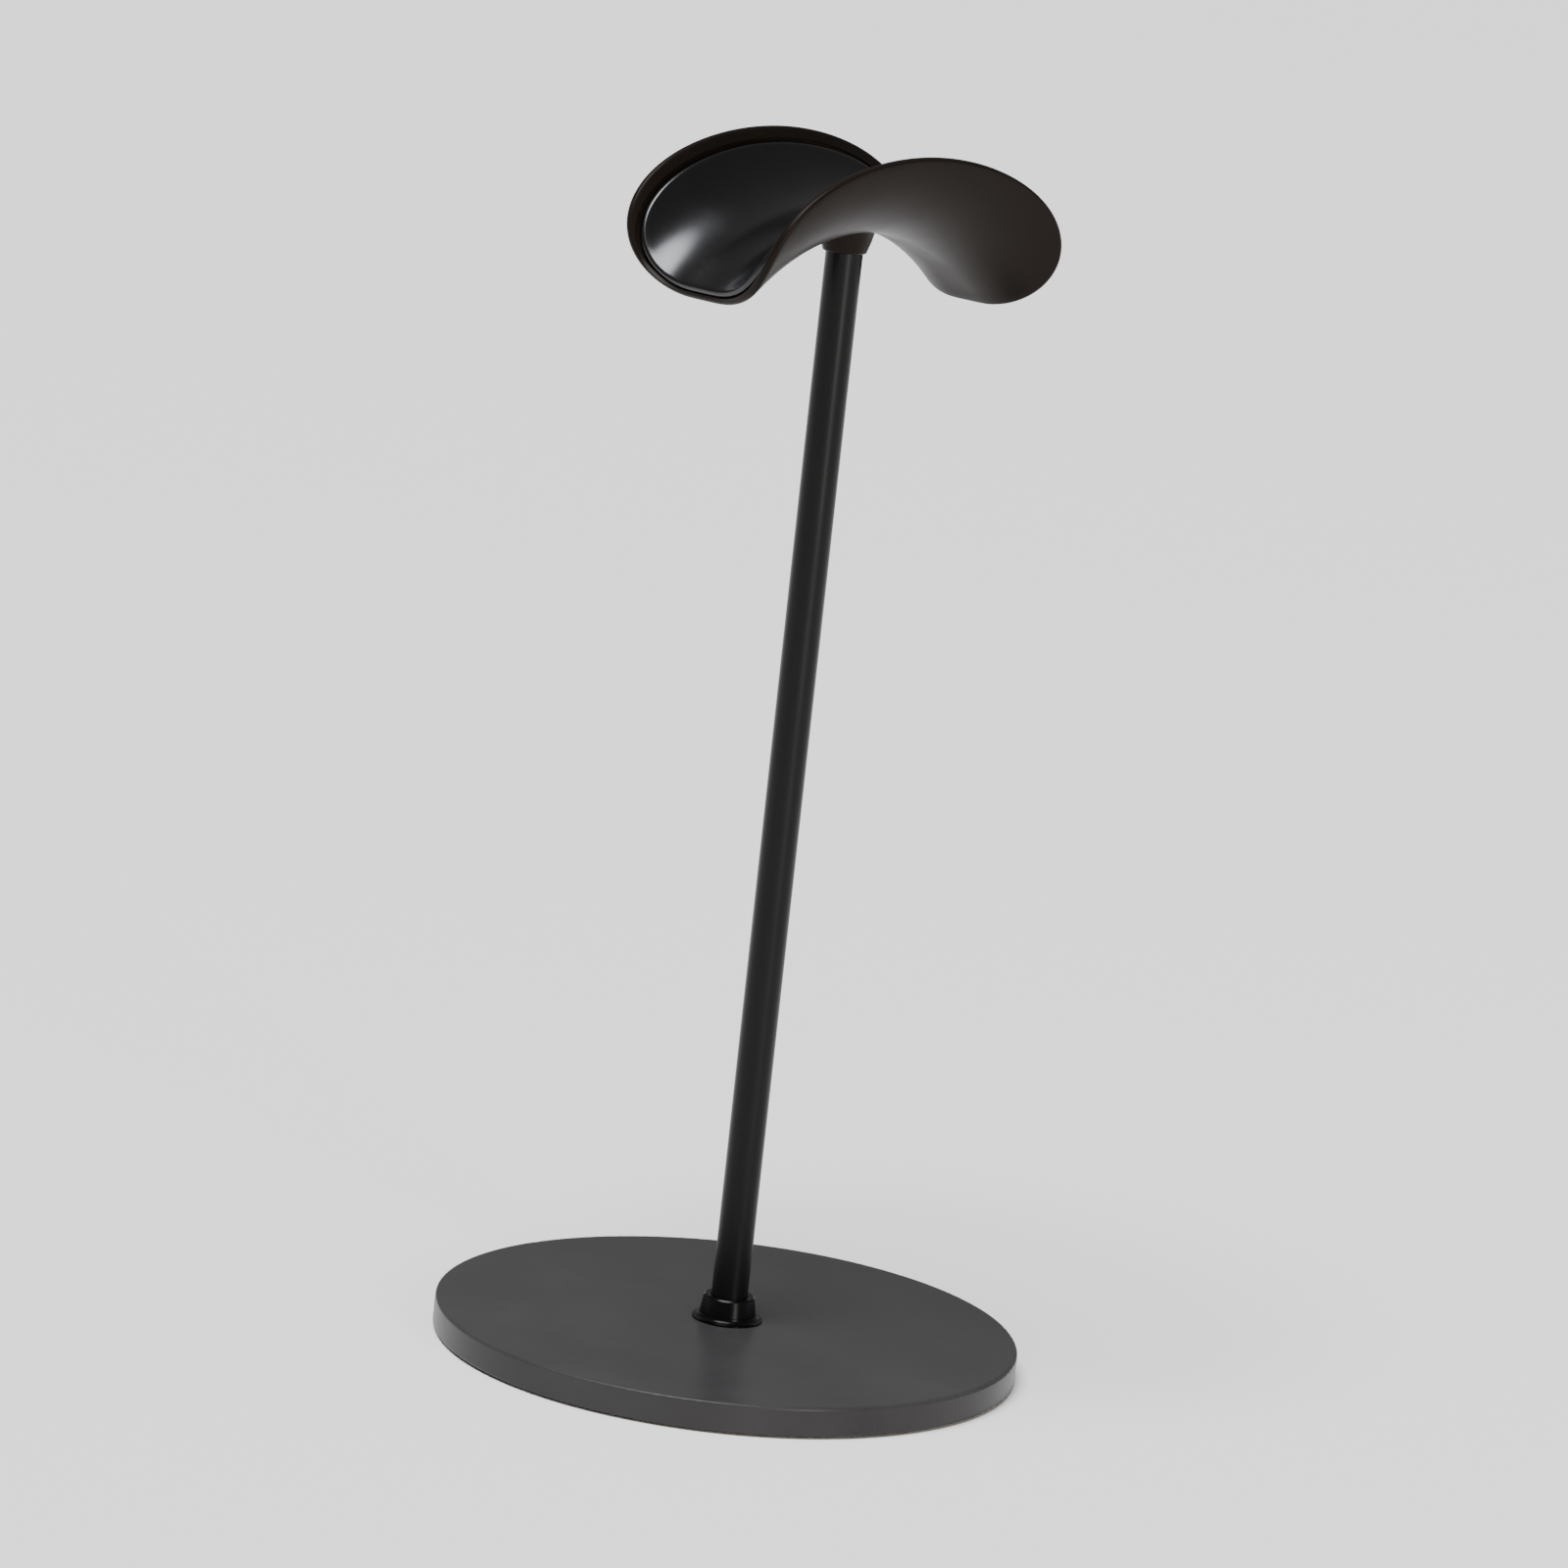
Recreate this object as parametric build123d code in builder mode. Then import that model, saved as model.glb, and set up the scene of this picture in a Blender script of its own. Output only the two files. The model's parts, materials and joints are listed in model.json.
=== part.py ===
# Saddle-topped display stand: a weighted round base, a slim round pole and a padded saddle head.
#
# Frame: origin at the centre of the face that the stand rests on, +Z up. The saddle droops
# towards +X and -X and turns up in wings towards +Y and -Y. Millimetres.

import os
from math import cos, degrees, radians, sin

from build123d import *

# ---------------------------------------------------------------- driving dimensions

# base plate, cut from steel plate
base_diameter = 120.0
base_thickness = 6.0
base_top_round = 0.7
base_bottom_round = 0.4

# anti-slip pad, stuck in a shallow pocket under the base
foot_pad_diameter = 110.0
foot_pad_thickness = 1.5
foot_pad_pocket = 1.0

# pole, a drawn round tube
pole_diameter = 7.5
pole_wall = 1.0
pole_length = 221.7

# threaded inserts in the tube ends
insert_flange = 1.0
insert_depth = 14.0

# M4 machine screws: one low head under the base, one countersunk head under the saddle pad
screw_diameter = 4.0
hex_across_flats = 2.5
hex_depth = 1.0
base_screw_length = 12.0
base_screw_head_diameter = 8.0
base_screw_head_height = 1.5
head_screw_length = 12.0
head_screw_head_diameter = 8.0
head_screw_head_height = 2.2
screw_tip_chamfer = 0.4

# flat washer under the base screw
washer_diameter = 9.0
washer_thickness = 0.8

# foot collar, a turned trim ring that hides the joint of pole and base
collar_height = 5.0
collar_top_diameter = 10.5
collar_body_diameter = 11.6
collar_flange_diameter = 14.5
collar_flange_edge = 0.35
collar_flare_height = 1.5
collar_rim_chamfer = 0.3

# saddle: an arch that droops along X, with a trough across Y (both are mid-surface sizes)
arch_radius = 54.4
trough_radius = 18.6
trough_flat_width = 7.4
saddle_half_length = 41.5
saddle_half_wrap = 30.3
rim_along_power = 5.2
rim_across_power = 3.0
shell_thickness = 1.7

# soft pad bonded in the saddle, set in from the shell's rim
pad_thickness = 1.3
pad_end_inset = 0.6
pad_wing_inset = 3.4

# tapered boss moulded under the saddle, with a socket for the top of the pole
boss_height = 4.6
boss_bottom_wall = 0.65
boss_top_wall = 1.85
boss_bottom_round = 0.5
boss_screw_web = 0.6
screw_recess = 0.2
screw_cut_overrun = 1.0

# clearances, each on the radius unless it is a depth
screw_hole_clearance = 0.25
thread_clearance = 0.03
insert_clearance = 0.02
pole_clearance = 0.1
washer_clearance = 0.15
washer_pocket_clearance = 0.5
foot_pad_clearance = 0.3
head_depth_clearance = 0.2

# ---------------------------------------------------------------- levels and radii they give

base_radius = base_diameter / 2
pole_radius = pole_diameter / 2
pole_bore_radius = pole_radius - pole_wall
screw_radius = screw_diameter / 2
screw_hole_radius = screw_radius + screw_hole_clearance
thread_radius = screw_radius + thread_clearance
socket_radius = pole_radius + pole_clearance

base_bottom = foot_pad_thickness - foot_pad_pocket
base_top = base_bottom + base_thickness
pocket_ceiling = base_bottom + foot_pad_pocket
washer_seat = pocket_ceiling + head_depth_clearance + base_screw_head_height + washer_thickness
washer_bottom = washer_seat - washer_thickness
pole_bottom = base_top + insert_flange
pole_top = pole_bottom + pole_length
boss_ceiling = pole_top + insert_flange

shell_top = boss_ceiling + boss_screw_web + head_screw_head_height + screw_recess
shell_bottom = shell_top - shell_thickness
boss_bottom = shell_bottom - boss_height
saddle_middle = (shell_bottom + shell_top + pad_thickness) / 2
arch_centre = saddle_middle - arch_radius
shell_low_offset = shell_bottom - saddle_middle
shell_high_offset = shell_top - saddle_middle
pad_high_offset = shell_high_offset + pad_thickness
trough_flat_half = trough_flat_width / 2

# the swept layers run a little past the rim, and the rim outline trims them
overrun_angle = radians(6.0)
rim_steps = 8

os.makedirs("parts", exist_ok=True)


# ---------------------------------------------------------------- saddle construction

def wing_angle(wrap):
    """Angle that the trough has turned through at an arc distance wrap from its centre line."""
    return max(wrap - trough_flat_half, 0.0) / trough_radius


def rim_radius(wrap):
    """Distance of the mid-surface from the arch axis at that arc distance."""
    return arch_radius + trough_radius * (1 - cos(wing_angle(wrap)))


def rim_points(half_length, half_wrap):
    """Side view of half the rim, from the +X end up to the crest: seen along Y, the curve on the
    mid-surface where the shares of half_length and half_wrap, each raised to its power, add up
    to 1. The share of half_length follows a cosine, which spaces the points well."""
    points = []
    for step in range(rim_steps):
        share = cos(radians(90.0 * step / rim_steps))
        lean = half_length * share / arch_radius
        radius = rim_radius(half_wrap * (1 - share ** rim_along_power) ** (1 / rim_across_power))
        points.append((radius * sin(lean), arch_centre + radius * cos(lean)))
    points.append((0, arch_centre + rim_radius(half_wrap)))
    return points


def saddle_layer(low, high, half_length, half_wrap):
    """One saddle layer between two offsets from the mid-surface (positive on the hollow side):
    the trough's section swept round the arch axis, then trimmed to the rim outline."""
    lean = half_length / arch_radius
    sweep = lean + overrun_angle
    turned = wing_angle(half_wrap) + overrun_angle
    low_radius = trough_radius - low
    high_radius = trough_radius - high
    centre = arch_radius + trough_radius
    start = Plane(origin=(0, 0, arch_centre), x_dir=(0, 1, 0), z_dir=(cos(sweep), 0, sin(sweep)))
    with BuildPart() as layer:
        with BuildSketch(start):
            with BuildLine():
                for side in (1, -1):
                    root = (side * trough_flat_half, centre)
                    outer = CenterArc(root, low_radius, -90, side * degrees(turned))
                    inner = CenterArc(root, high_radius, -90, side * degrees(turned))
                    Line(outer @ 1, inner @ 1)
                for radius in (low_radius, high_radius):
                    Line((-trough_flat_half, centre - radius), (trough_flat_half, centre - radius))
            make_face()
        revolve(axis=Axis((0, 0, arch_centre), (0, 1, 0)), revolution_arc=2 * degrees(sweep))
        with BuildSketch(Plane.XZ):
            with BuildLine():
                foot_radius = arch_radius - trough_radius / 2
                end_foot = (foot_radius * sin(lean), arch_centre + foot_radius * cos(lean))
                end_tangents = ((sin(lean), cos(lean)), (-1, 0))
                points = rim_points(half_length, half_wrap)
                rim = Spline(*points, tangents=end_tangents, tangent_scalars=(1, 1))
                Polyline((0, end_foot[1]), end_foot, rim @ 0)
                mirror(about=Plane.YZ)
            make_face()
        extrude(amount=trough_flat_half + 2 * trough_radius, both=True, mode=Mode.INTERSECT)
    return layer.part


# ---------------------------------------------------------------- base plate

with BuildPart() as base_plate:
    with BuildSketch(Plane.XY.offset(base_bottom)):
        Circle(base_radius)
    extrude(amount=base_thickness)
    rims = base_plate.edges().filter_by(GeomType.CIRCLE).sort_by(Axis.Z)
    fillet(rims[-1], radius=base_top_round)
    rims = base_plate.edges().filter_by(GeomType.CIRCLE).sort_by(Axis.Z)
    fillet(rims[0], radius=base_bottom_round)
    with BuildSketch(Plane.XY.offset(base_bottom)):
        Circle(foot_pad_diameter / 2 + foot_pad_clearance)
    extrude(amount=foot_pad_pocket, mode=Mode.SUBTRACT)
    with BuildSketch(Plane.XY.offset(pocket_ceiling)):
        Circle(washer_diameter / 2 + washer_pocket_clearance)
    extrude(amount=washer_seat - pocket_ceiling, mode=Mode.SUBTRACT)
    with BuildSketch(Plane.XY.offset(washer_seat)):
        Circle(screw_hole_radius)
    extrude(amount=base_top - washer_seat, mode=Mode.SUBTRACT)
base_plate.part.label = "base_plate"
export_step(base_plate.part, "parts/base_plate.step")

# ---------------------------------------------------------------- anti-slip pad

with BuildPart() as anti_slip_pad:
    with BuildSketch(Plane.XY):
        Circle(foot_pad_diameter / 2)
    extrude(amount=foot_pad_thickness)
anti_slip_pad.part.label = "anti_slip_pad"
export_step(anti_slip_pad.part, "parts/anti_slip_pad.step")

# ---------------------------------------------------------------- base screw and washer

with BuildPart() as base_screw:
    with BuildSketch(Plane.XY.offset(washer_bottom - base_screw_head_height)):
        Circle(base_screw_head_diameter / 2)
    extrude(amount=base_screw_head_height)
    with BuildSketch(Plane.XY.offset(washer_bottom)):
        Circle(screw_radius)
    extrude(amount=base_screw_length)
    chamfer(base_screw.edges().sort_by(Axis.Z)[-1], length=screw_tip_chamfer)
    with BuildSketch(Plane.XY.offset(washer_bottom - base_screw_head_height)):
        RegularPolygon(hex_across_flats / 2, 6, major_radius=False)
    extrude(amount=hex_depth, mode=Mode.SUBTRACT)
base_screw.part.label = "base_screw"
export_step(base_screw.part, "parts/base_screw.step")

with BuildPart() as base_washer:
    with BuildSketch(Plane.XY.offset(washer_bottom)):
        Circle(washer_diameter / 2)
        Circle(screw_radius + washer_clearance, mode=Mode.SUBTRACT)
    extrude(amount=washer_thickness)
base_washer.part.label = "base_washer"
export_step(base_washer.part, "parts/base_washer.step")

# ---------------------------------------------------------------- foot collar

with BuildPart() as foot_collar:
    with BuildSketch(Plane.XZ):
        with BuildLine():
            flange_radius = collar_flange_diameter / 2
            body_radius = collar_body_diameter / 2
            rim_outer = collar_top_diameter / 2
            flange_top = (flange_radius, base_top + collar_flange_edge)
            body_foot = (body_radius, base_top + collar_flare_height)
            rim_foot = (rim_outer, base_top + collar_height - collar_rim_chamfer)
            rim_crest = (rim_outer - collar_rim_chamfer, base_top + collar_height)
            flare_corner = (body_radius, base_top + collar_flange_edge)
            Polyline((socket_radius, base_top), (flange_radius, base_top), flange_top)
            Bezier(flange_top, flare_corner, body_foot)
            Polyline(body_foot, rim_foot, rim_crest, (socket_radius, base_top + collar_height))
            Line((socket_radius, base_top + collar_height), (socket_radius, base_top))
        make_face()
    revolve(axis=Axis.Z)
foot_collar.part.label = "foot_collar"
export_step(foot_collar.part, "parts/foot_collar.step")

# ---------------------------------------------------------------- pole and its inserts

with BuildPart() as pole:
    with BuildSketch(Plane.XY.offset(pole_bottom)):
        Circle(pole_radius)
        Circle(pole_bore_radius, mode=Mode.SUBTRACT)
    extrude(amount=pole_length)
pole.part.label = "pole"
export_step(pole.part, "parts/pole.step")

with BuildPart() as lower_insert:
    with BuildSketch(Plane.XY.offset(base_top)):
        Circle(pole_radius)
    extrude(amount=insert_flange)
    with BuildSketch(Plane.XY.offset(pole_bottom)):
        Circle(pole_bore_radius - insert_clearance)
    extrude(amount=insert_depth)
    with BuildSketch(Plane.XY.offset(base_top)):
        Circle(thread_radius)
    extrude(amount=insert_flange + insert_depth, mode=Mode.SUBTRACT)
lower_insert.part.label = "lower_insert"
export_step(lower_insert.part, "parts/lower_insert.step")

with BuildPart() as upper_insert:
    with BuildSketch(Plane.XY.offset(pole_top)):
        Circle(pole_radius)
    extrude(amount=insert_flange)
    with BuildSketch(Plane.XY.offset(pole_top - insert_depth)):
        Circle(pole_bore_radius - insert_clearance)
    extrude(amount=insert_depth)
    with BuildSketch(Plane.XY.offset(pole_top - insert_depth)):
        Circle(thread_radius)
    extrude(amount=insert_flange + insert_depth, mode=Mode.SUBTRACT)
upper_insert.part.label = "upper_insert"
export_step(upper_insert.part, "parts/upper_insert.step")

# ---------------------------------------------------------------- saddle shell with its boss

shell_layer = saddle_layer(
    shell_low_offset,
    shell_high_offset,
    saddle_half_length,
    saddle_half_wrap,
)

with BuildPart() as saddle_shell:
    add(shell_layer)
    with BuildSketch(Plane.XZ) as boss_section:
        with BuildLine():
            boss_foot_radius = socket_radius + boss_bottom_wall
            boss_root_radius = socket_radius + boss_top_wall
            boss_root = (shell_bottom + shell_top) / 2
            Polyline((0, boss_bottom), (boss_foot_radius, boss_bottom), (boss_root_radius, shell_bottom))
            Polyline((boss_root_radius, shell_bottom), (boss_root_radius, boss_root), (0, boss_root))
            Line((0, boss_root), (0, boss_bottom))
        make_face()
        foot_corner = boss_section.vertices().sort_by_distance((boss_foot_radius, boss_bottom, 0))[0]
        fillet(foot_corner, radius=boss_bottom_round)
    revolve(axis=Axis.Z)
    with BuildSketch(Plane.XY.offset(boss_bottom)):
        Circle(socket_radius)
    extrude(amount=boss_ceiling - boss_bottom, mode=Mode.SUBTRACT)
    with BuildSketch(Plane.XY.offset(boss_ceiling)):
        Circle(screw_hole_radius)
    extrude(amount=shell_top - boss_ceiling, mode=Mode.SUBTRACT)
    with BuildSketch(Plane.XZ):
        with BuildLine():
            cone_bottom = boss_ceiling + boss_screw_web
            cone_top = cone_bottom + head_screw_head_height
            cone_radius = head_screw_head_diameter / 2
            Polyline((0, cone_bottom), (screw_radius, cone_bottom), (cone_radius, cone_top))
            cut_top = shell_top + screw_cut_overrun
            Polyline((cone_radius, cone_top), (cone_radius, cut_top), (0, cut_top))
            Line((0, cut_top), (0, cone_bottom))
        make_face()
    revolve(axis=Axis.Z, mode=Mode.SUBTRACT)
saddle_shell.part.label = "saddle_shell"
export_step(saddle_shell.part, "parts/saddle_shell.step")

# ---------------------------------------------------------------- saddle pad

pad_layer = saddle_layer(
    shell_high_offset,
    pad_high_offset,
    saddle_half_length - pad_end_inset,
    saddle_half_wrap - pad_wing_inset,
)

with BuildPart() as saddle_pad:
    add(pad_layer)
saddle_pad.part.label = "saddle_pad"
export_step(saddle_pad.part, "parts/saddle_pad.step")

# ---------------------------------------------------------------- head screw

with BuildPart() as head_screw:
    with BuildSketch(Plane.XZ):
        with BuildLine():
            tip = cone_top - head_screw_length
            Polyline((0, cone_top), (cone_radius, cone_top), (screw_radius, cone_bottom))
            Polyline(
                (screw_radius, cone_bottom),
                (screw_radius, tip + screw_tip_chamfer),
                (screw_radius - screw_tip_chamfer, tip),
                (0, tip),
            )
            Line((0, tip), (0, cone_top))
        make_face()
    revolve(axis=Axis.Z)
    with BuildSketch(Plane.XY.offset(cone_top - hex_depth)):
        RegularPolygon(hex_across_flats / 2, 6, major_radius=False)
    extrude(amount=hex_depth, mode=Mode.SUBTRACT)
head_screw.part.label = "head_screw"
export_step(head_screw.part, "parts/head_screw.step")
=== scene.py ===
import json

import bpy
import numpy as np
from mathutils import Matrix, Vector

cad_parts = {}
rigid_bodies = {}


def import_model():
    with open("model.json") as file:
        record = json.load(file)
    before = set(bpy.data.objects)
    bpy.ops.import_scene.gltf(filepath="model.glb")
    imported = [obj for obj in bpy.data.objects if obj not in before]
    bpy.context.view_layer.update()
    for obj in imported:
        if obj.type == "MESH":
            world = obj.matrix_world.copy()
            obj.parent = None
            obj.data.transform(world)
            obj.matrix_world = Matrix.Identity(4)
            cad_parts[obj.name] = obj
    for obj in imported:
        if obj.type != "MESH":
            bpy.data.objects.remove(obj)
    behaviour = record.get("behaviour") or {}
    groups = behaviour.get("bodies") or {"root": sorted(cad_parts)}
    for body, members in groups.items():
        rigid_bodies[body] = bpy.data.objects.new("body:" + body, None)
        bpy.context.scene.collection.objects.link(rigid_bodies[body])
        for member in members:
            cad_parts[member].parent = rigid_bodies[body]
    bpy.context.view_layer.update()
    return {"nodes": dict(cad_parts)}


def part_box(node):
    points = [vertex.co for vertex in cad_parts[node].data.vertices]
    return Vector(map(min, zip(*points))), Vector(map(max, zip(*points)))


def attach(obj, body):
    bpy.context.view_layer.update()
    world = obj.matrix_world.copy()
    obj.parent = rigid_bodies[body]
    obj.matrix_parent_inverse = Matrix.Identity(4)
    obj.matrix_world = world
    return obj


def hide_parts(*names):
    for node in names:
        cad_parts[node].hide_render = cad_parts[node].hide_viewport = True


for leftover in list(bpy.data.objects):
    bpy.data.objects.remove(leftover)

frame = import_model()
nodes = frame["nodes"]
MM = 0.001

# ---------------------------------------------------------------- base plate
# A disc of 6 mm steel with softened rims, blasted and then powder coated. The coat is a fine
# satin grey-black with a faint grain and old cleaning marks. The IOR of every coat and of the
# shell is set low, so that the bright floor doesn't wash the dark faces out.

BASE_COAT = "#2f2e2e"
BASE_COAT_WORN = "#373636"
COAT_ROUGHNESS = 0.3
COAT_ROUGHNESS_LOW = 0.26
COAT_ROUGHNESS_HIGH = 0.36
COAT_IOR = 1.22
COAT_GRAIN = 0.45 * MM
COAT_GRAIN_DEPTH = 0.012 * MM
CLEANING_MARK = 28 * MM
CLEANING_DETAIL = 5.0


def linear(hex_colour):
    """sRGB hex to linear RGBA: each channel over 255, then the sRGB curve undone."""
    code = hex_colour.lstrip("#")
    channels = [int(code[i:i + 2], 16) / 255 for i in (0, 2, 4)]
    undone = [c / 12.92 if c <= 0.04045 else ((c + 0.055) / 1.055) ** 2.4 for c in channels]
    return (*undone, 1.0)


def node(tree, kind, links=None, **settings):
    """Adds one node. settings are its own properties, or its input values where the name is an
    input's; links join other nodes' sockets to its inputs."""
    made = tree.nodes.new(kind)
    for name, value in settings.items():
        socket = made.inputs.get(name.replace("_", " "))
        if hasattr(made, name):
            setattr(made, name, value)
        else:
            socket.default_value = value
    for name, source in (links or {}).items():
        tree.links.new(source, made.inputs[name])
    return made


def finish_of(name, colour, roughness, **surface):
    """A new node material on one Principled surface: (material, tree, surface node)."""
    material = bpy.data.materials.new(name)
    material.use_nodes = True
    tree = material.node_tree
    shader = tree.nodes["Principled BSDF"]
    shader.inputs["Base Color"].default_value = linear(colour)
    shader.inputs["Roughness"].default_value = roughness
    for socket, value in surface.items():
        shader.inputs[socket.replace("_", " ")].default_value = value
    return material, tree, shader


def place(tree):
    """The piece's own coordinates, in metres."""
    return node(tree, "ShaderNodeTexCoord").outputs["Object"]


def noise(tree, size, detail=2.0, roughness=0.5):
    """Noise whose lumps are about size metres across."""
    made = node(
        tree,
        "ShaderNodeTexNoise",
        {"Vector": place(tree)},
        Scale=1 / size,
        Detail=detail,
        Roughness=roughness,
    )
    return made.outputs["Fac"]


def spread(tree, source, low, high):
    """Moves the middle of a 0 to 1 pattern to the range low to high."""
    made = node(
        tree,
        "ShaderNodeMapRange",
        {"Value": source},
        From_Min=0.3,
        From_Max=0.7,
        To_Min=low,
        To_Max=high,
    )
    return made.outputs["Result"]


def tint(tree, source, first, second):
    """Mixes two colours by a 0 to 1 pattern."""
    made = node(tree, "ShaderNodeMix", data_type="RGBA")
    tree.links.new(source, made.inputs["Factor"])
    colours = [s for s in made.inputs if s.type == "RGBA"]
    colours[0].default_value = linear(first)
    colours[1].default_value = linear(second)
    return [s for s in made.outputs if s.type == "RGBA"][0]


def bumped(tree, shader, source, depth, strength=1.0):
    """Raises the surface by depth metres where the pattern is 1."""
    made = node(tree, "ShaderNodeBump", {"Height": source}, Distance=depth, Strength=strength)
    tree.links.new(made.outputs["Normal"], shader.inputs["Normal"])


def wear(name, material):
    """Gives a carried-over piece its finish."""
    piece = nodes[name]
    piece.data.materials.clear()
    piece.data.materials.append(material)


base_coat, tree, shader = finish_of("powder_coated_steel", BASE_COAT, COAT_ROUGHNESS, IOR=COAT_IOR)
marks = noise(tree, CLEANING_MARK, CLEANING_DETAIL, 0.6)
worn = tint(tree, spread(tree, marks, 0.0, 1.0), BASE_COAT, BASE_COAT_WORN)
tree.links.new(worn, shader.inputs["Base Color"])
worn_gloss = spread(tree, marks, COAT_ROUGHNESS_LOW, COAT_ROUGHNESS_HIGH)
tree.links.new(worn_gloss, shader.inputs["Roughness"])
bumped(tree, shader, noise(tree, COAT_GRAIN), COAT_GRAIN_DEPTH, 0.6)
wear("base_plate", base_coat)

# ---------------------------------------------------------------- screws and washer
# Zinc-plated machine screws and a pressed washer. One screw and the washer sit in the
# counterbore under the base, behind the anti-slip pad, and the other in the saddle under its pad.

ZINC = "#b9bbbd"
ZINC_ROUGHNESS = 0.32
ZINC_ROUGHNESS_LOW = 0.25
ZINC_ROUGHNESS_HIGH = 0.4
ZINC_CLOUD = 1.2 * MM
ZINC_GRAIN = 0.3 * MM
ZINC_GRAIN_DEPTH = 0.004 * MM

zinc, tree, shader = finish_of("zinc_plated_steel", ZINC, ZINC_ROUGHNESS, Metallic=1.0)
clouds = noise(tree, ZINC_CLOUD, 3.0)
clouded = spread(tree, clouds, ZINC_ROUGHNESS_LOW, ZINC_ROUGHNESS_HIGH)
tree.links.new(clouded, shader.inputs["Roughness"])
bumped(tree, shader, noise(tree, ZINC_GRAIN), ZINC_GRAIN_DEPTH)
wear("base_screw", zinc)
wear("base_washer", zinc)
wear("head_screw", zinc)

# ---------------------------------------------------------------- foot collar
# A turned ring, flared at its foot, dipped in gloss black enamel. It slides over the pole and
# hides where the pole meets the base.

ENAMEL = "#060606"
ENAMEL_ROUGHNESS = 0.24
ENAMEL_IOR = 1.2
ENAMEL_WAVE = 2.5 * MM
ENAMEL_WAVE_DEPTH = 0.01 * MM

enamel, tree, shader = finish_of("gloss_black_enamel", ENAMEL, ENAMEL_ROUGHNESS, IOR=ENAMEL_IOR)
bumped(tree, shader, noise(tree, ENAMEL_WAVE, 1.0), ENAMEL_WAVE_DEPTH, 0.5)
wear("foot_collar", enamel)

# ---------------------------------------------------------------- pole and inserts
# Drawn steel tube with a satin black coat, and a turned brass plug pressed in each end.
# The coat shows the draw as a faint run along the tube.

POLE_COAT = "#090909"
BRASS = "#b08d4a"
DRAW_WIDTH = 0.5 * MM
DRAW_STRETCH = 40.0
POLE_ROUGHNESS = 0.34
POLE_ROUGHNESS_LOW = 0.3
POLE_ROUGHNESS_HIGH = 0.38
POLE_IOR = 1.26
POLE_GRAIN = 0.5 * MM
POLE_GRAIN_DEPTH = 0.008 * MM
BRASS_ROUGHNESS = 0.28
BRASS_TURNING = 0.4 * MM
BRASS_TURNING_DEPTH = 0.004 * MM

pole_coat, tree, shader = finish_of("satin_black_coat", POLE_COAT, POLE_ROUGHNESS, IOR=POLE_IOR)
along_pole = node(
    tree,
    "ShaderNodeMapping",
    {"Vector": place(tree)},
    Scale=(1, 1, 1 / DRAW_STRETCH),
)
draw = node(
    tree,
    "ShaderNodeTexNoise",
    {"Vector": along_pole.outputs["Vector"]},
    Scale=1 / DRAW_WIDTH,
    Detail=2.0,
)
drawn = spread(tree, draw.outputs["Fac"], POLE_ROUGHNESS_LOW, POLE_ROUGHNESS_HIGH)
tree.links.new(drawn, shader.inputs["Roughness"])
bumped(tree, shader, noise(tree, POLE_GRAIN), POLE_GRAIN_DEPTH, 0.7)
wear("pole", pole_coat)

brass, tree, shader = finish_of("turned_brass", BRASS, BRASS_ROUGHNESS, Metallic=1.0)
bumped(tree, shader, noise(tree, BRASS_TURNING), BRASS_TURNING_DEPTH)
wear("lower_insert", brass)
wear("upper_insert", brass)

# ---------------------------------------------------------------- saddle shell
# One moulding in satin black ABS: an arch that droops along X, rolled up in a wing each side,
# with a rounded rim and a tapered boss below that takes the pole. Its wings' inner faces show
# as a band outside the pad, with a narrow moulded gap between the two.

SHELL_BLACK = "#16120f"
SHELL_GLEAM = "#fff0e4"
SHELL_ROUGHNESS = 0.36
SHELL_ROUGHNESS_LOW = 0.32
SHELL_ROUGHNESS_HIGH = 0.4
SHELL_IOR = 1.17
SHELL_CLOUD = 12 * MM
SHELL_GRAIN = 0.35 * MM
SHELL_GRAIN_DEPTH = 0.006 * MM
ARCH_RADIUS = 54.4 * MM
TROUGH_RADIUS = 18.6 * MM
FLAT_HALF = 3.7 * MM
HALF_LENGTH = 41.5 * MM
HALF_WRAP = 30.3 * MM
ALONG_POWER = 5.2
ACROSS_POWER = 3.0
SHELL_LOW = -1.5 * MM
SHELL_HIGH = 0.2 * MM
RIM_ROUND = 0.7 * MM
PAD_HALF_LENGTH = 40.9 * MM
PAD_HALF_WRAP = 26.9 * MM
GAP_WIDTH = 1.0 * MM
GAP_DEPTH = 0.6 * MM
GAP_SHARE = 0.45
GAP_UNDER_PAD = 0.4 * MM
GAP_CORNER_WIDTH = 0.8
GAP_CORNER_DEPTH = 0.9
BAND_STEPS = (0.4, 0.8, 1.0)
ROUND_STEPS = 6
INNER_STEPS = 26
TURNS = 288

saddle_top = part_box("saddle_shell")[1].z
crest_rise = TROUGH_RADIUS * (1 - np.cos((HALF_WRAP - FLAT_HALF) / TROUGH_RADIUS))
arch_centre = saddle_top - crest_rise - ARCH_RADIUS
direction = np.linspace(0, 2 * np.pi, TURNS, endpoint=False)


def on_saddle(along, wrap, lift):
    """Point of the saddle at arc distances along (droop) and wrap (across) from its middle,
    lift above the mid-surface: the wrap turns on the trough's radius past the flat floor, which
    gives the distance from the arch axis, and along turns that distance round the axis."""
    turned = np.sign(wrap) * np.maximum(np.abs(wrap) - FLAT_HALF, 0) / TROUGH_RADIUS
    radius = ARCH_RADIUS + TROUGH_RADIUS - (TROUGH_RADIUS - lift) * np.cos(turned)
    floor_part = np.sign(wrap) * np.minimum(np.abs(wrap), FLAT_HALF)
    across = floor_part + (TROUGH_RADIUS - lift) * np.sin(turned)
    lean = along / ARCH_RADIUS
    return np.stack([radius * np.sin(lean), across, arch_centre + radius * np.cos(lean)], -1)


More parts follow.
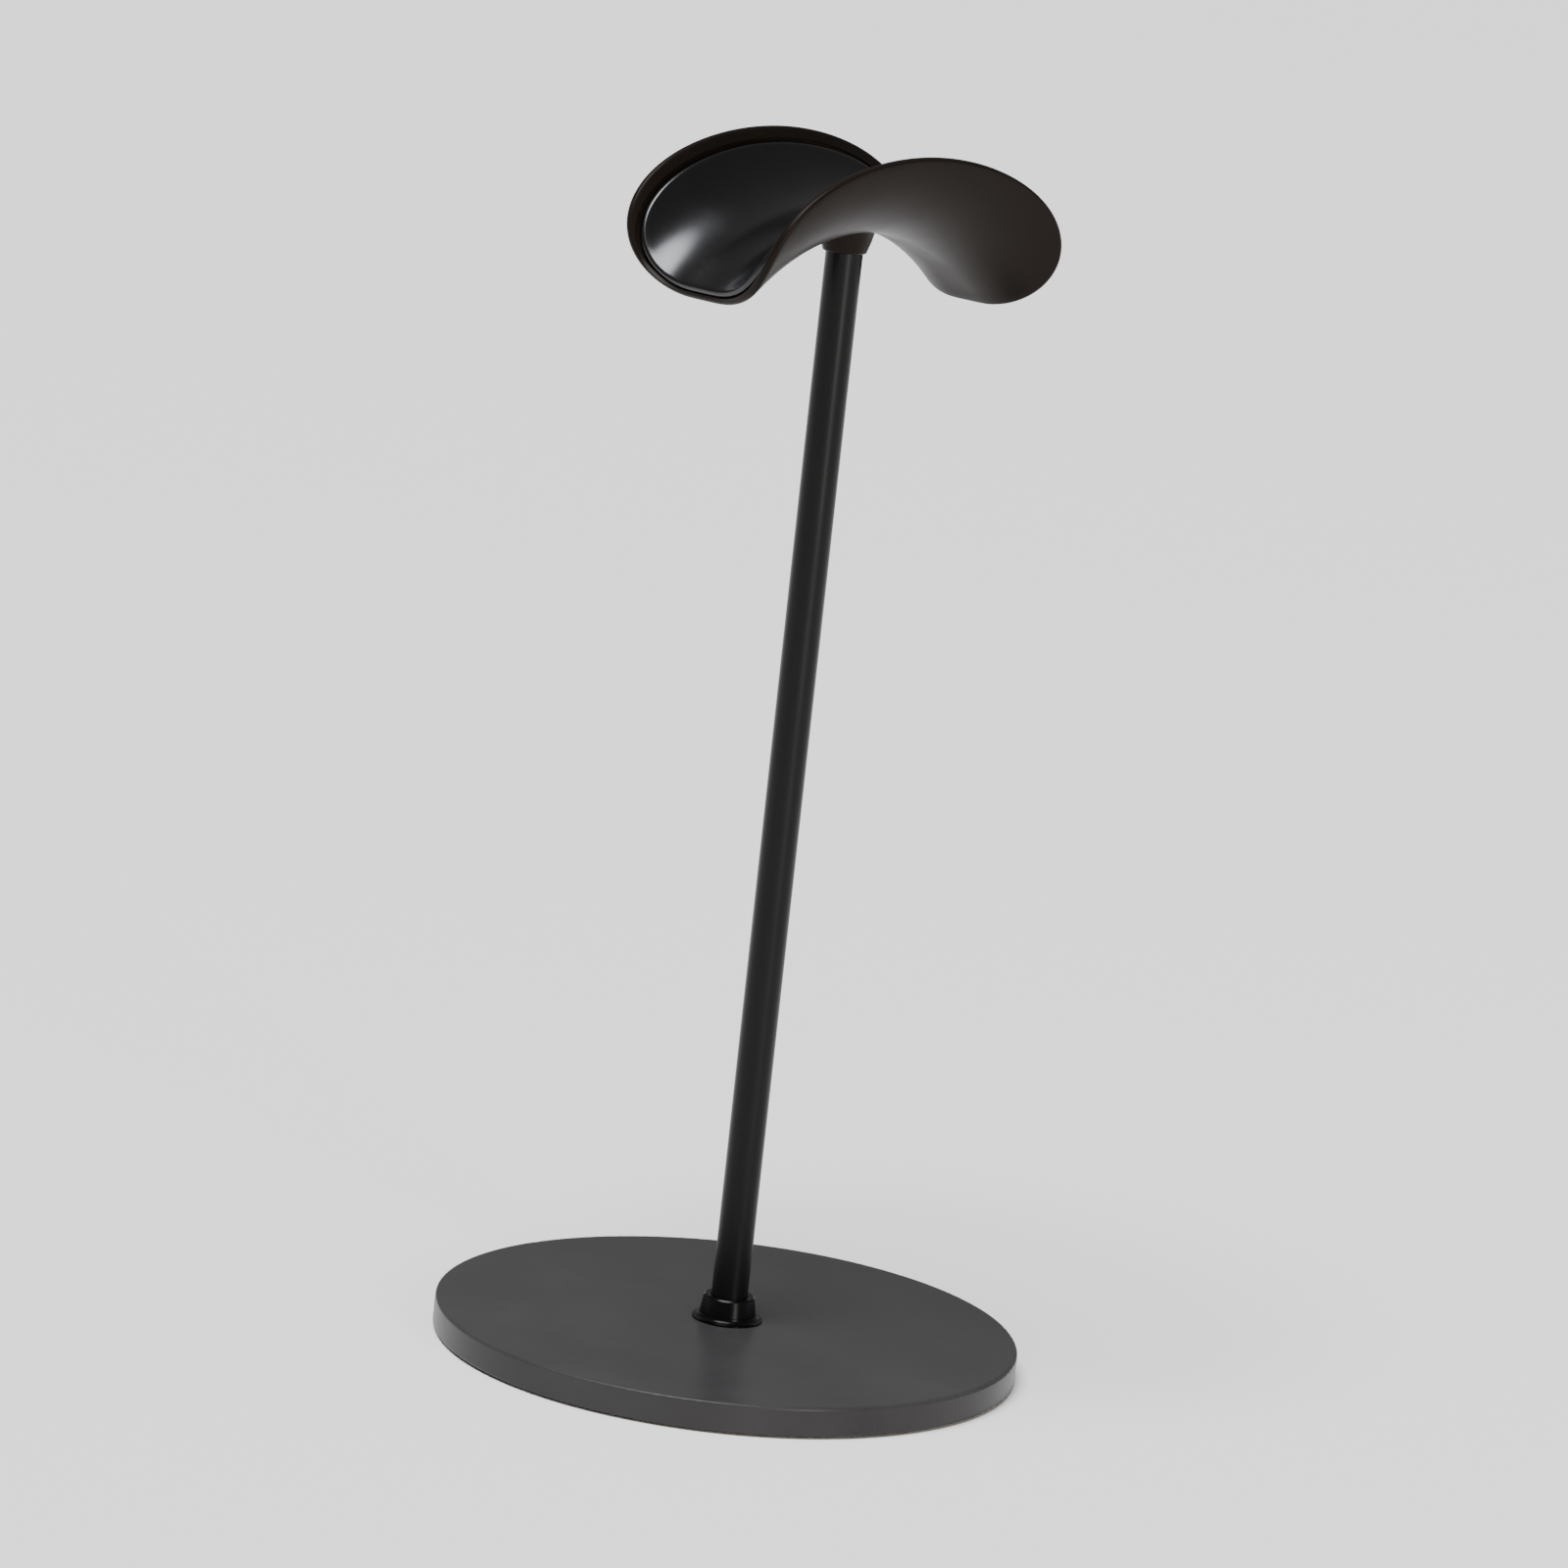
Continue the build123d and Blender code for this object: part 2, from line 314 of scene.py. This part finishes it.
def outline(half_length, half_wrap):
    """Rim in the saddle's two arc distances, where their shares of half_length and half_wrap,
    each raised to its power, add up to 1. The share along follows a cosine."""
    share = np.cos(direction)
    across = (1 - np.abs(share) ** ALONG_POWER) ** (1 / ACROSS_POWER)
    return np.stack([half_length * share, half_wrap * np.sign(np.sin(direction)) * across], -1)


def inset(curve, distance):
    """The outline moved in by distance, square to itself."""
    run = np.roll(curve, -1, 0) - np.roll(curve, 1, 0)
    run /= np.linalg.norm(run, axis=1)[:, None]
    outward = np.stack([run[:, 1], -run[:, 0]], -1)
    return curve - outward * np.asarray(distance).reshape(-1, 1)


def surface(name, rings, closed_ends=False, crease=40.0):
    """A closed mesh from rings of points: quads between neighbours, and the ring of rings either
    joined last to first, or its two ends closed by one point each (closed_ends)."""
    rings = np.asarray(rings)
    count, turns = rings.shape[:2]
    ring = np.arange(count * turns).reshape(count, turns)
    following = np.roll(ring, -1, 1)
    if closed_ends:
        low, high = ring[:-1], ring[1:]
        low_next, high_next = following[:-1], following[1:]
    else:
        low, high = ring, np.roll(ring, -1, 0)
        low_next, high_next = following, np.roll(following, -1, 0)
    faces = np.stack([low, low_next, high_next, high], -1).reshape(-1, 4).tolist()
    points = rings.reshape(-1, 3)
    if closed_ends:
        first, last = len(points), len(points) + 1
        points = np.vstack([points, rings[0].mean(0), rings[-1].mean(0)])
        faces += [[int(b), int(a), first] for a, b in zip(ring[0], following[0])]
        faces += [[int(a), int(b), last] for a, b in zip(ring[-1], following[-1])]
    mesh = bpy.data.meshes.new(name)
    mesh.from_pydata(points.tolist(), [], faces)
    mesh.validate()
    mesh.shade_smooth()
    mesh.set_sharp_from_angle(angle=np.radians(crease))
    piece = bpy.data.objects.new(name, mesh)
    bpy.context.scene.collection.objects.link(piece)
    return piece


def flat_ring(radius, height):
    """Circle about the pole's axis."""
    return np.stack(
        [radius * np.cos(direction), radius * np.sin(direction), np.full(TURNS, height)],
        -1,
    )


rim = outline(HALF_LENGTH, HALF_WRAP)
pad_rim = outline(PAD_HALF_LENGTH, PAD_HALF_WRAP)
margin = np.linalg.norm(rim - pad_rim, axis=1)
gap = np.minimum(GAP_WIDTH, GAP_SHARE * margin)

BOSS_HEIGHT = 4.6 * MM
BOSS_FOOT = 4.5 * MM
BOSS_ROOT = 5.7 * MM
BOSS_ROUND = 0.5 * MM
BOSS_STEPS = (0.5, 0.97)
SOCKET = 3.85 * MM
SCREW_HOLE = 2.25 * MM
SCREW_HEAD = 4.0 * MM
SCREW_HEAD_CLEAR = 0.05 * MM
SCREW_HEAD_DEPTH = 2.2 * MM
shell_floor = arch_centre + ARCH_RADIUS + SHELL_LOW
boss_bottom = shell_floor - BOSS_HEIGHT
socket_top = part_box("upper_insert")[1].z
screw_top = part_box("head_screw")[1].z
countersink = SCREW_HEAD + SCREW_HEAD_CLEAR

quarter = np.linspace(0, np.pi / 2, ROUND_STEPS)
unit_circle = np.stack([np.cos(direction), np.sin(direction)], -1)
boss_circle = BOSS_ROOT * unit_circle
head_circle = countersink * unit_circle
inner_rim = inset(rim, RIM_ROUND)
rings = []
for share in np.linspace(0, 1, INNER_STEPS):
    rings.append(on_saddle(*(boss_circle + (inner_rim - boss_circle) * share).T, SHELL_LOW))
for turn in quarter[1:]:
    edge = inset(rim, RIM_ROUND * (1 - np.sin(turn)))
    rings.append(on_saddle(*edge.T, SHELL_LOW + RIM_ROUND * (1 - np.cos(turn))))
for turn in quarter[::-1]:
    edge = inset(rim, RIM_ROUND * (1 - np.sin(turn)))
    rings.append(on_saddle(*edge.T, SHELL_HIGH - RIM_ROUND * (1 - np.cos(turn))))
groove_outer = inset(pad_rim, -gap)
groove_inner = inset(pad_rim, GAP_UNDER_PAD)
gap_floor = SHELL_HIGH - GAP_DEPTH
for share in BAND_STEPS:
    rings.append(on_saddle(*(inner_rim + (groove_outer - inner_rim) * share).T, SHELL_HIGH))
rings.append(on_saddle(*groove_outer.T, SHELL_HIGH - GAP_DEPTH * GAP_CORNER_DEPTH))
rings.append(on_saddle(*inset(pad_rim, -gap * GAP_CORNER_WIDTH).T, gap_floor))
rings.append(on_saddle(*groove_inner.T, gap_floor))
rings.append(on_saddle(*groove_inner.T, SHELL_HIGH))
for share in np.linspace(0, 1, INNER_STEPS)[1:]:
    rings.append(on_saddle(*(groove_inner + (head_circle - groove_inner) * share).T, SHELL_HIGH))
rings.append(flat_ring(countersink, screw_top))
rings.append(flat_ring(SCREW_HOLE, screw_top - SCREW_HEAD_DEPTH))
rings.append(flat_ring(SCREW_HOLE, socket_top))
rings.append(flat_ring(SOCKET, socket_top))
rings.append(flat_ring(SOCKET, boss_bottom))
for turn in quarter:
    rings.append(flat_ring(
        BOSS_FOOT - BOSS_ROUND * (1 - np.sin(turn)),
        boss_bottom + BOSS_ROUND * (1 - np.cos(turn)),
    ))
for share in BOSS_STEPS:
    rings.append(flat_ring(
        BOSS_FOOT + (BOSS_ROOT - BOSS_FOOT) * share,
        boss_bottom + BOSS_HEIGHT * share,
    ))

shell = surface("saddle_shell_moulding", rings)
abs_black, tree, shader = finish_of(
    "satin_black_abs",
    SHELL_BLACK,
    SHELL_ROUGHNESS,
    IOR=SHELL_IOR,
    Specular_Tint=linear(SHELL_GLEAM),
)
clouds = noise(tree, SHELL_CLOUD, 3.0)
clouded = spread(tree, clouds, SHELL_ROUGHNESS_LOW, SHELL_ROUGHNESS_HIGH)
tree.links.new(clouded, shader.inputs["Roughness"])
bumped(tree, shader, noise(tree, SHELL_GRAIN), SHELL_GRAIN_DEPTH, 0.6)
shell.data.materials.append(abs_black)
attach(shell, "root")
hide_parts("saddle_shell")

# ---------------------------------------------------------------- saddle pad
# Soft thermoplastic rubber bonded in the trough, moulded smooth so that it doesn't catch hair.
# Its rim is rounded over, and its face is a semi-gloss black that takes broad soft highlights.

PAD_BLACK = "#060607"
PAD_TOP = 1.5 * MM
PAD_ROUND = 0.8 * MM
PAD_CLEAR = 0.02 * MM
PAD_LOWER_ROUND = 0.1 * MM
PAD_ROUGHNESS = 0.24
PAD_ROUGHNESS_LOW = 0.22
PAD_ROUGHNESS_HIGH = 0.27
PAD_IOR = 1.48
PAD_CLOUD = 9 * MM
PAD_GRAIN = 0.6 * MM
PAD_GRAIN_DEPTH = 0.006 * MM

pad_bottom = SHELL_HIGH + PAD_CLEAR
rings = []
for share in np.linspace(0, 1, INNER_STEPS)[1:]:
    rings.append(on_saddle(*(inset(pad_rim, PAD_LOWER_ROUND) * share).T, pad_bottom))
rings.append(on_saddle(*pad_rim.T, pad_bottom + PAD_LOWER_ROUND))
for turn in quarter[::-1]:
    edge = inset(pad_rim, PAD_ROUND * (1 - np.sin(turn)))
    rings.append(on_saddle(*edge.T, PAD_TOP - PAD_ROUND * (1 - np.cos(turn))))
pad_inner = inset(pad_rim, PAD_ROUND)
for share in np.linspace(1, 0, 2 * INNER_STEPS)[1:-1]:
    rings.append(on_saddle(*(pad_inner * share).T, PAD_TOP))

pad = surface("saddle_pad_skin", rings, closed_ends=True, crease=60.0)
soft_black, tree, shader = finish_of("smooth_tpe", PAD_BLACK, PAD_ROUGHNESS, IOR=PAD_IOR)
clouds = noise(tree, PAD_CLOUD, 3.0)
clouded = spread(tree, clouds, PAD_ROUGHNESS_LOW, PAD_ROUGHNESS_HIGH)
tree.links.new(clouded, shader.inputs["Roughness"])
bumped(tree, shader, noise(tree, PAD_GRAIN), PAD_GRAIN_DEPTH, 0.5)
pad.data.materials.append(soft_black)
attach(pad, "root")
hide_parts("saddle_pad")

# ---------------------------------------------------------------- anti-slip pad
# A die-cut disc of foamed rubber stuck in the pocket under the base, embossed with fine rings
# so that it grips. It stands half a millimetre proud, and its cut edge is slightly rounded.

FOOT_RUBBER = "#232323"
RING_PITCH = 2.0 * MM
RING_DEPTH = 0.12 * MM
FOOT_EDGE = 0.35 * MM
FOOT_CLEAR = 0.02 * MM
FOOT_ROUGHNESS = 0.85
FOOT_IOR = 1.52
FOAM_CELL = 0.4 * MM
FOAM_CELL_DEPTH = 0.05 * MM

foot_low, foot_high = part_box("anti_slip_pad")
foot_radius = foot_high.x
rings = []
for radius in np.arange(2 * RING_PITCH, foot_radius - FOOT_EDGE, RING_PITCH / 4):
    groove = RING_DEPTH * (0.5 - 0.5 * np.cos(2 * np.pi * radius / RING_PITCH))
    rings.append(flat_ring(radius, foot_low.z + groove))
for turn in quarter:
    rings.append(flat_ring(
        foot_radius - FOOT_EDGE * (1 - np.sin(turn)),
        foot_low.z + FOOT_EDGE * (1 - np.cos(turn)),
    ))
rings.append(flat_ring(foot_radius, foot_high.z - FOOT_CLEAR))
rings.append(flat_ring(foot_radius / 2, foot_high.z - FOOT_CLEAR))
grip = surface("anti_slip_disc", rings, closed_ends=True)
rubber, tree, shader = finish_of("foamed_rubber", FOOT_RUBBER, FOOT_ROUGHNESS, IOR=FOOT_IOR)
bumped(tree, shader, noise(tree, FOAM_CELL, 3.0), FOAM_CELL_DEPTH, 0.8)
grip.data.materials.append(rubber)
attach(grip, "root")
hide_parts("anti_slip_pad")

# ---------------------------------------------------------------- floor, light and camera
# A plain pale floor under soft studio light: a broad skylight from overhead and a little in
# front, a faint warm panel low in front on the right, and an even pale surround.

FLOOR_PALE = "#f4f2ef"
FLOOR_ROUGHNESS = 0.8
FLOOR_HALF = 20.0
SURROUND = "#f1efed"
SURROUND_STRENGTH = 0.28
SKY = "#f6f8ff"
SKY_ENERGY = 5.8
SKY_ANGLE = 34
SKY_RIGHT, SKY_AWAY, SKY_UP = 0.2, 0.25, -0.95
FILL = "#fff6ec"
FILL_WATTS = 19.0
FILL_WIDTH, FILL_HEIGHT = 0.4, 1.2
FILL_RIGHT, FILL_AWAY, FILL_UP = 0.95, -1.5, 0.3
AZIMUTH = -44.4
ELEVATION = 11.02
ROLL = 6.284
DISTANCE = 1.25
AIM_HEIGHT = 0.1187
AIM_LEFT = 0.35 * MM
SENSOR_WIDTH = 36.0
FOCAL_LENGTH = 142.340625
CLIP_NEAR, CLIP_FAR = 0.05, 100.0

sheet = bpy.data.meshes.new("floor")
corners = [(x * FLOOR_HALF, y * FLOOR_HALF, 0) for x, y in ((-1, -1), (1, -1), (1, 1), (-1, 1))]
sheet.from_pydata(corners, [], [(0, 1, 2, 3)])
floor = bpy.data.objects.new("floor", sheet)
bpy.context.scene.collection.objects.link(floor)
pale, tree, shader = finish_of("pale_floor", FLOOR_PALE, FLOOR_ROUGHNESS)
floor.data.materials.append(pale)

world = bpy.data.worlds.new("studio")
bpy.context.scene.world = world
world.use_nodes = True
backdrop = world.node_tree.nodes["Background"]
backdrop.inputs["Color"].default_value = linear(SURROUND)
backdrop.inputs["Strength"].default_value = SURROUND_STRENGTH

turn_z = np.radians(AZIMUTH)
view_right = Vector((np.cos(turn_z), np.sin(turn_z), 0))
view_away = Vector((-np.sin(turn_z), np.cos(turn_z), 0))
aim = Vector((0, 0, AIM_HEIGHT)) - view_right * AIM_LEFT


def seen(right, away, up):
    """A direction given by how far it goes right, away and up as the camera sees the stand."""
    return view_right * right + view_away * away + Vector((0, 0, up))


def hang(name, kind, colour, energy, way):
    """A lamp shining the given way."""
    lamp = bpy.data.lights.new(name, kind)
    lamp.energy = energy
    lamp.color = linear(colour)[:3]
    holder = bpy.data.objects.new(name, lamp)
    holder.rotation_mode = "QUATERNION"
    holder.rotation_quaternion = way.to_track_quat("-Z", "Y")
    bpy.context.scene.collection.objects.link(holder)
    return holder


sky = hang("skylight", "SUN", SKY, SKY_ENERGY, seen(SKY_RIGHT, SKY_AWAY, SKY_UP))
sky.data.angle = np.radians(SKY_ANGLE)
fill_place = seen(FILL_RIGHT, FILL_AWAY, FILL_UP)
fill = hang("fill", "AREA", FILL, FILL_WATTS, -fill_place)
fill.data.shape = "RECTANGLE"
fill.data.size, fill.data.size_y = FILL_WIDTH, FILL_HEIGHT
fill.location = aim + fill_place

lens = bpy.data.cameras.new("camera")
lens.sensor_width = SENSOR_WIDTH
lens.lens = FOCAL_LENGTH
lens.clip_start, lens.clip_end = CLIP_NEAR, CLIP_FAR
camera = bpy.data.objects.new("camera", lens)
bpy.context.scene.collection.objects.link(camera)
bpy.context.scene.camera = camera
rise = float(np.radians(ELEVATION))
back = seen(0, -np.cos(rise), np.sin(rise))
camera.rotation_mode = "QUATERNION"
camera.location = aim + back * DISTANCE
level = (-back).to_track_quat("-Z", "Y").to_matrix().to_4x4()
camera.rotation_quaternion = (level @ Matrix.Rotation(np.radians(ROLL), 4, "Z")).to_quaternion()
